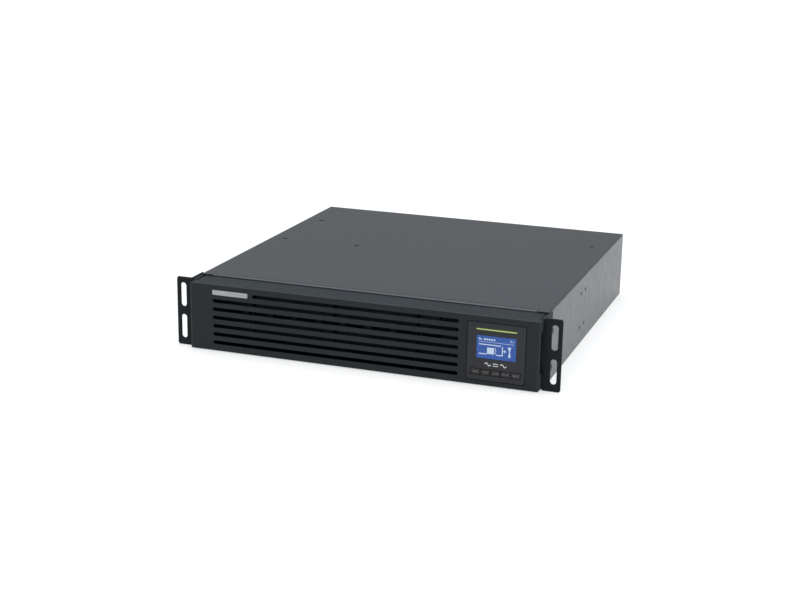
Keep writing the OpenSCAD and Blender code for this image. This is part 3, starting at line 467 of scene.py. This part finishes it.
def outline_mesh(name, outlines, y, depth):
    """Flat closed outlines, drawn as X and Z in metres, given a depth towards the front."""
    form = bmesh.new()
    for points in outlines:
        back = [form.verts.new((x, y, z)) for x, z in points]
        face = form.faces.new(back)
        grown = bmesh.ops.extrude_face_region(form, geom=[face])
        moved = [v for v in grown["geom"] if isinstance(v, bmesh.types.BMVert)]
        bmesh.ops.translate(form, vec=(0, -depth, 0), verts=moved)
    bmesh.ops.recalc_face_normals(form, faces=form.faces)
    mesh = bpy.data.meshes.new(name)
    form.to_mesh(mesh)
    form.free()
    return mesh


def bar(x0, x1, z0, z1, r=0.0, steps=4):
    """The outline of a rectangle with round corners."""
    r = min(r, (x1 - x0) / 2, (z1 - z0) / 2)
    if r <= 0:
        return [(x0, z0), (x1, z0), (x1, z1), (x0, z1)]
    points = []
    corners = (
        (x1 - r, z0 + r, -90), (x1 - r, z1 - r, 0), (x0 + r, z1 - r, 90), (x0 + r, z0 + r, 180),
    )
    for cx, cz, start in corners:
        for k in range(steps + 1):
            a = math.radians(start + 90 * k / steps)
            points.append((cx + r * math.cos(a), cz + r * math.sin(a)))
    return points


def stroke(points, width):
    """The outline of a line of even width through points, with mitred corners."""
    left, right = [], []
    for i, (x, z) in enumerate(points):
        a = Vector(points[max(i - 1, 0)])
        b = Vector(points[min(i + 1, len(points) - 1)])
        along = (b - a).normalized()
        side = Vector((-along.y, along.x)) * width / 2
        if 0 < i < len(points) - 1:
            before = (Vector(points[i]) - a).normalized()
            lean = max(0.5, abs(before.dot(along)))
            side = side / lean
        left.append((x + side.x, z + side.y))
        right.append((x - side.x, z - side.y))
    return right + left[::-1]


# --------------------------------------------------------------- whole unit

# How far the sheet's edges are broken, and where its holes, screws, lip and seam are.
SHEET_EDGE = 0.22 * MM
SIDE_HOLES = [(RACK_Y + y * MM, z * MM) for y in (185.7, 209.7) for z in (22.3, 66.3)]
SIDE_WALL_X = 210 * MM
HOLE_REACH = 2.6 * MM
HOLE_RIM = 2.1 * MM
HOLE_SINK = 0.55 * MM
COVER_SCREWS = [
    (x * MM, RACK_Y + y * MM)
    for x, y in ((-196, 351), (-200, 231.5), (-96, 231.5), (196, 351))
]
SCREW_SINK = 4 * MM
BEZEL_WALL_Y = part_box("bezel")[0].y + 2.5 * MM
BEZEL_INSIDE_X = 213.5 * MM
BEZEL_INSIDE_Z = (1 * MM, 83 * MM)
LIP_Z = 83.5 * MM
LIP_BEND = 1.9 * MM
SEAM_X = 205 * MM
SEAM_Y = RACK_Y + 30.85 * MM
SEAM_REACH = 0.5 * MM
FRAME_LOW, FRAME_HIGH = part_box("front_frame")
COVER_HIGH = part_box("top_cover")[1]


def in_side_hole(place, reach=HOLE_REACH):
    """Whether a place is on the wall of a threaded hole in the case's side."""
    if abs(place.x) < SIDE_WALL_X:
        return False
    return any(math.hypot(place.y - y, place.z - z) < reach for y, z in SIDE_HOLES)


def in_screw_sink(place):
    """Whether a place is in a countersink of the cover's top."""
    if place.z < LIP_Z:
        return False
    return any(math.hypot(place.x - x, place.y - y) < SCREW_SINK for x, y in COVER_SCREWS)


def inside_bezel(place):
    """Whether a place is behind the bezel's front wall, where the inside is darkened with painted
    shade.
    """
    low, high = BEZEL_INSIDE_Z
    return place.y > BEZEL_WALL_Y and low < place.z < high and abs(place.x) < BEZEL_INSIDE_X


def on_hole_rim(place):
    """Whether a place is on the outer rim of a threaded hole in the case's side."""
    return abs(place.x) > COVER_HIGH.x - 0.02 * MM and in_side_hole(place, HOLE_RIM)


def on_lip_bend(place):
    """Whether a place is on the edge where the front frame is folded back into its top strip."""
    return abs(place.y - FRAME_LOW.y) + abs(place.z - FRAME_HIGH.z) < 0.05 * MM


def in_seam_shade(place):
    """Whether a place is along the seam between the cover and the front frame's top strip, where the
    faces take the dark paint as painted shade in the gap.
    """
    return place.z > LIP_Z and abs(place.y - SEAM_Y) < SEAM_REACH and abs(place.x) < SEAM_X


for node in ("top_cover", "chassis_base"):
    piece = finish_node(node, "case_paint", SHEET_EDGE, bend=(on_hole_rim, HOLE_SINK))
    # Painted shade: the walls of the side holes and the countersinks take the black screw look, and
    # the faces along the seam the dark paint.
    for inside, look in (
        (in_side_hole, "black_screw"), (in_screw_sink, "black_screw"), (in_seam_shade, "ear_paint"),
    ):
        tinted(piece, inside, look)
for node in ("rear_panel", "slot_cover"):
    finish_node(node, "case_paint", SHEET_EDGE)
# The battery retainer and tray, and the front frame below its top strip, take the dark ear paint:
# partly their own paint, partly painted shade for the dark inside seen through the louvres.
for node in ("ear_left", "ear_right", "battery_retainer", "battery_tray"):
    finish_node(node, "ear_paint", SHEET_EDGE)
piece = finish_node("front_frame", "ear_paint", SHEET_EDGE,
                    split_z=LIP_Z, bend=(on_lip_bend, LIP_BEND))
# The top strip takes the case paint, and its folded front edge the lighter edge look, a painted
# highlight along the bend.
tinted(piece, lambda place: place.z > LIP_Z, "case_paint", "case_edge_wear_and_highlight")
# Painted shade along the seam: the faces beside the gap take the dark paint.
tinted(piece, in_seam_shade, "ear_paint")
# The bezel's inside faces take the near-black look: painted shade behind the louvres.
tinted(finish_node("bezel", "bezel_plastic", 0.35 * MM, 3), inside_bezel, "bezel_inside_shade")
for node in ("display_face", "display_housing"):
    finish_node(node, "display_plastic", 0.2 * MM)
for index in range(1, 6):
    finish_node(f"key_{index}", "key_plastic", 0.25 * MM, 3)
finish_node("partition_wall", "zinc_steel", 0.15 * MM)
for node in ("ear_screws", "cover_screws", "thumb_screws"):
    finish_node(node, "black_screw", 0.12 * MM)
for node in ("panel_screws", "earth_stud"):
    finish_node(node, "bright_screw", 0.12 * MM)
for node in ("serial_port", "usb_port"):
    finish_node(node, "port_steel", 0.12 * MM)
for node in ("ac_inlet", "outlet_blocks", "circuit_breaker", "network_jacks"):
    finish_node(node, "socket_plastic", 0.2 * MM)
for index in range(1, 5):
    finish_node(f"battery_{index}", "battery_plastic", 0.5 * MM)
for node in ("inverter_heatsink", "rectifier_heatsink"):
    finish_node(node, "heatsink_aluminium", 0.15 * MM)
# The plug and socket take the darkened plastic, painted shade behind the louvres.
for node in ("battery_plug", "battery_socket"):
    finish_node(node, "grey_plastic", 0.3 * MM)
for node in ("fan_frame_left", "fan_frame_right"):
    finish_node(node, "fan_plastic", 0.3 * MM)
finish_node("nameplate", "badge_metal", 0.15 * MM)
finish_node("relays", "relay_white", 0.4 * MM)
finish_node("shutdown_terminal", "terminal_green", 0.2 * MM)
finish_node("breaker_button", "button_red", 0.3 * MM)
for node in ("power_board", "display_board"):
    finish_node(node, "circuit_green", 0.1 * MM)
finish_node("control_board", "circuit_blue", 0.1 * MM)
finish_node("power_transistors", "chip_black", 0.15 * MM)
for node, look in (
    ("fan_rotor_left", "fan_plastic"), ("fan_rotor_right", "fan_plastic"),
    ("inlet_pins", "brass"), ("board_standoffs", "brass"),
    ("bus_capacitors", "capacitor_sleeve"), ("filter_chokes", "copper_winding"),
    ("battery_links", "wire_plastic"), ("pull_strap", "strap_fabric"),
    ("display_ribbon", "ribbon_grey"), ("lcd_panel", "lcd_blue"), ("light_bar", "light_green"),
):
    plain_node(node, look)


# --------------------------------------------------------------- fan guards

WIRE = 0.8 * MM
WIRE_SIDES = 10
EYE = 3.2 * MM
RINGS = 5
RING_START = 3 * MM
RING_STEP = 8 * MM


def ring(form, centre, radius, turns=72):
    """Adds a wire ring that lies flat against the rear panel."""
    rows = []
    for i in range(turns):
        a = 2 * math.pi * i / turns
        row = []
        for k in range(WIRE_SIDES):
            b = 2 * math.pi * k / WIRE_SIDES
            r = radius + WIRE * math.cos(b)
            out = Vector((r * math.cos(a), WIRE * math.sin(b), r * math.sin(a)))
            row.append(form.verts.new(centre + out))
        rows.append(row)
    for i in range(turns):
        near, far = rows[i], rows[(i + 1) % turns]
        for k in range(WIRE_SIDES):
            after = (k + 1) % WIRE_SIDES
            form.faces.new((near[k], far[k], far[after], near[after]))


def spoke(form, start, end):
    """Adds a straight wire with closed ends."""
    along = end - start
    turn = along.to_track_quat("Z", "Y").to_matrix().to_4x4()
    place = Matrix.Translation((start + end) / 2) @ turn
    bmesh.ops.create_cone(form, cap_ends=True, segments=WIRE_SIDES, radius1=WIRE, radius2=WIRE,
                          depth=along.length, matrix=place)


def fan_guard(side):
    """A chromed wire guard: five rings on four spokes that end in screw eyes."""
    node = f"fan_guard_{side}"
    low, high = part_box(node)
    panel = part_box("rear_panel")[1].y
    x = (low.x + high.x) / 2
    z = (low.z + high.z) / 2
    ring_y = panel + 3 * WIRE
    spoke_y = panel + 1.3 * MM
    eye_y = panel + 1.1 * MM
    corner = (high.x - low.x) / 2 - EYE - WIRE
    inner = RING_START / math.sqrt(2)
    outer = corner - (EYE + WIRE / 2) / math.sqrt(2)
    form = bmesh.new()
    for k in range(RINGS):
        ring(form, Vector((x, ring_y, z)), RING_START + RING_STEP * k)
    for sx in (-1, 1):
        for sz in (-1, 1):
            start = Vector((x + sx * inner, spoke_y, z + sz * inner))
            end = Vector((x + sx * outer, spoke_y, z + sz * outer))
            spoke(form, start, end)
            ring(form, Vector((x + sx * corner, eye_y, z + sz * corner)), EYE, 32)
    bmesh.ops.recalc_face_normals(form, faces=form.faces)
    mesh = bpy.data.meshes.new(node)
    form.to_mesh(mesh)
    form.free()
    piece = add_piece(node + "_part", mesh, body_of(node), slot_of(node), "wire_chrome")
    smooth(mesh)
    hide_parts(node)


for side in ("left", "right"):
    fan_guard(side)


# ------------------------------------------------------------------ display

SHOWN = (46.3 * MM, 26.8 * MM)
WINDOW = (46.4 * MM, 26.9 * MM)


def display_marks():
    """The mimic diagram on the display: a status line, and a line through a battery to a load.

    The places are given as shares of the shown area's width and height, from its lower left.
    """
    low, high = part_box("lcd_panel")
    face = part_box("display_face")[0].y + 0.5 * MM
    centre = (low + high) / 2
    w, h = SHOWN
    x0 = centre.x - w / 2
    z0 = centre.z - h / 2

    def at(u, v):
        return (x0 + u * w, z0 + v * h)

    line = 1.15 * MM
    shapes = []
    for u0, u1, v in ((0.05, 0.085, 0.86), (0.095, 0.125, 0.84)):
        a, b = at(u0, v), at(u1, v)
        shapes.append(bar(a[0], b[0], a[1] - 0.9 * MM, a[1] + 0.9 * MM, 0.2 * MM))
    for k in range(5):
        a, b = at(0.18 + k * 0.062, 0.85), at(0.225 + k * 0.062, 0.85)
        shapes.append(bar(a[0], b[0], a[1] - 1.0 * MM, a[1] + 1.0 * MM, 0.2 * MM))
    a, b = at(0.05, 0.735), at(0.95, 0.735)
    shapes.append(bar(a[0], b[0], a[1] - 0.2 * MM, a[1] + 0.2 * MM))
    a, b = at(0.86, 0.82), at(0.93, 0.92)
    shapes.append(bar(a[0], a[0] + 0.9 * MM, a[1], b[1], 0.1 * MM))
    shapes.append(bar(b[0] - 0.9 * MM, b[0], a[1], a[1] + 1.6 * MM, 0.1 * MM))
    for start, end in (
        (at(0.06, 0.62), at(0.62, 0.62)), (at(0.06, 0.2), at(0.26, 0.2)),
        (at(0.5, 0.2), at(0.66, 0.2)), (at(0.66, 0.6), at(0.66, 0.2)),
    ):
        shapes.append(stroke([start, end], line))
    a, b = at(0.27, 0.22), at(0.45, 0.5)
    shapes.append(bar(a[0], b[0], a[1], b[1], 0.5 * MM))
    shapes.append(stroke([at(0.47, 0.22), at(0.5, 0.36), at(0.47, 0.52)], 0.6 * MM))
    shapes.append(stroke([at(0.66, 0.4), at(0.74, 0.4)], line))
    shapes.append([at(0.71, 0.33), at(0.76, 0.4), at(0.71, 0.47)])
    shapes.append([at(0.79, 0.6), at(0.88, 0.6), at(0.85, 0.42),
                   at(0.87, 0.16), at(0.81, 0.16), at(0.83, 0.42)])
    mesh = outline_mesh("display_marks", shapes, face, 0.08 * MM)
    add_piece("display_marks", mesh, "display_module", "lcd_blue", "lcd_white")


def display_window():
    """The clear window over the display, just under the face."""
    low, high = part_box("lcd_panel")
    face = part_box("display_face")[0].y
    centre = (low + high) / 2
    w, h = WINDOW
    shape = bar(centre.x - w / 2, centre.x + w / 2,
                centre.z - h / 2, centre.z + h / 2, 0.5 * MM)
    mesh = outline_mesh("display_window", [shape], face + 0.38 * MM, 0.32 * MM)
    piece = add_piece("display_window", mesh, "display_module", "display_plastic", "window_clear")
    rounded(piece, 0.08 * MM)


def key_marks():
    """A plain sign on each key: an arrow or a dot, and two short lines beside it."""
    arrow = [(-1, -0.8), (1, -0.8), (0, 0.9)]
    s = 1.35 * MM
    for index, turn in ((1, 90), (2, 180), (3, 0), (4, -90), (5, None)):
        low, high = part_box(f"key_{index}")
        x = (low.x + high.x) / 2 - 1.7 * MM
        z = (low.z + high.z) / 2
        if turn is None:
            shapes = [bar(x - s, x + s, z - s, z + s, s, 6)]
        else:
            c, d = math.cos(math.radians(turn)), math.sin(math.radians(turn))
            shapes = [[(x + s * (u * c - v * d), z + s * (u * d + v * c)) for u, v in arrow]]
        left = x + 2.1 * MM
        for dz, length in ((0.65, 3.6), (-0.65, 2.8)):
            shapes.append(bar(left, left + length * MM,
                              z + (dz - 0.35) * MM, z + (dz + 0.35) * MM, 0.2 * MM))
        mesh = outline_mesh(f"key_mark_{index}", shapes, low.y, 0.03 * MM)
        add_piece(f"key_mark_{index}", mesh, body_of(f"key_{index}"), "key_plastic", "print_grey")


def power_path_marks():
    """Three plain signs under the display: alternating, direct and alternating current."""
    low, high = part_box("display_face")
    x = (low.x + high.x) / 2
    z = low.z + 19.8 * MM
    shapes = []
    for centre in (x - 9.2 * MM, x + 9.2 * MM):
        wave = []
        for k in range(17):
            t = k / 16
            wave.append((centre + (t - 0.5) * 7 * MM, z + 1.75 * MM * math.sin(2 * math.pi * t)))
        shapes.append(stroke(wave, 0.95 * MM))
    for dz in (-1.25, 1.25):
        shapes.append(bar(x - 3.2 * MM, x + 3.2 * MM,
                          z + (dz - 0.42) * MM, z + (dz + 0.42) * MM))
    mesh = outline_mesh("power_path_marks", shapes, low.y, 0.04 * MM)
    add_piece("power_path_marks", mesh, "display_module", "display_plastic", "print_white")


def light_core_glint():
    """The bright line along the middle of the light bar: partly the lit bar's hot centre, partly a
    painted highlight for the glints along it.
    """
    low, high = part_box("light_bar")
    z = (low.z + high.z) / 2
    shape = bar(low.x + 0.8 * MM, high.x - 0.8 * MM, z - 0.38 * MM, z + 0.38 * MM, 0.3 * MM)
    mesh = outline_mesh("light_core_glint", [shape], low.y + 0.02 * MM, 0.04 * MM)
    add_piece("light_core_glint", mesh, "display_module", "light_green", "light_core_glint")


display_marks()
display_window()
key_marks()
power_path_marks()
light_core_glint()


# -------------------------------------------------------------------- stage

FLOOR_REACH = 40
FLOOR_GLOW = 0.62
ROOM_LIGHT = 0.33
LIGHT_COLOUR = (0.94, 0.97, 1.0)
CAMERA_AT = (0.5913, RACK_Y - 1.5507, 0.5579)
CAMERA_AIM = (-0.0020, RACK_Y + 0.1414, 0.0450)
CAMERA_LENS = 66.47
CAMERA_ROLL = 0.991


def studio():
    """A plain pale floor, a pale room and two soft lights, the stronger one from above."""
    form = bmesh.new()
    bmesh.ops.create_grid(form, x_segments=8, y_segments=8, size=FLOOR_REACH)
    mesh = bpy.data.meshes.new("floor")
    form.to_mesh(mesh)
    form.free()
    floor = bpy.data.objects.new("floor", mesh)
    bpy.context.scene.collection.objects.link(floor)
    pale = Look("floor_pale", (0.34, 0.34, 0.34), 0.9, specular=0.1)
    pale.tone(pale.noise(0.5, 2), 0.995, 1.005)
    pale.set("Emission Color", (1, 1, 1, 1))
    pale.set("Emission Strength", FLOOR_GLOW)
    mesh.materials.append(pale.material)
    floor.location.z = -0.3 * MM

    world = bpy.data.worlds.new("room")
    bpy.context.scene.world = world
    world.use_nodes = True
    sky = world.node_tree.nodes["Background"]
    sky.inputs["Color"].default_value = (1, 1, 1, 1)
    sky.inputs["Strength"].default_value = ROOM_LIGHT

    for name, towards, spread, strength in (
        ("key_light", (0.96, -0.03, 0.28), 50, 1.75),
        ("top_light", (-0.1, 0.1, 0.95), 60, 3.45),
    ):
        data = bpy.data.lights.new(name, "SUN")
        data.angle = math.radians(spread)
        data.energy = strength
        data.color = LIGHT_COLOUR
        light = bpy.data.objects.new(name, data)
        bpy.context.scene.collection.objects.link(light)
        light.rotation_euler = Vector(towards).to_track_quat("Z", "Y").to_euler()


def camera():
    """The camera, in front and to the right, looking slightly down."""
    data = bpy.data.cameras.new("camera")
    data.lens = CAMERA_LENS
    data.sensor_width = 36
    data.clip_end = 200
    view = bpy.data.objects.new("camera", data)
    bpy.context.scene.collection.objects.link(view)
    view.location = CAMERA_AT
    level = (Vector(CAMERA_AIM) - view.location).to_track_quat("-Z", "Y")
    view.rotation_mode = "QUATERNION"
    view.rotation_quaternion = level @ Quaternion((0, 0, 1), math.radians(CAMERA_ROLL))
    bpy.context.scene.camera = view


studio()
camera()
bpy.context.scene.view_settings.view_transform = "Standard"
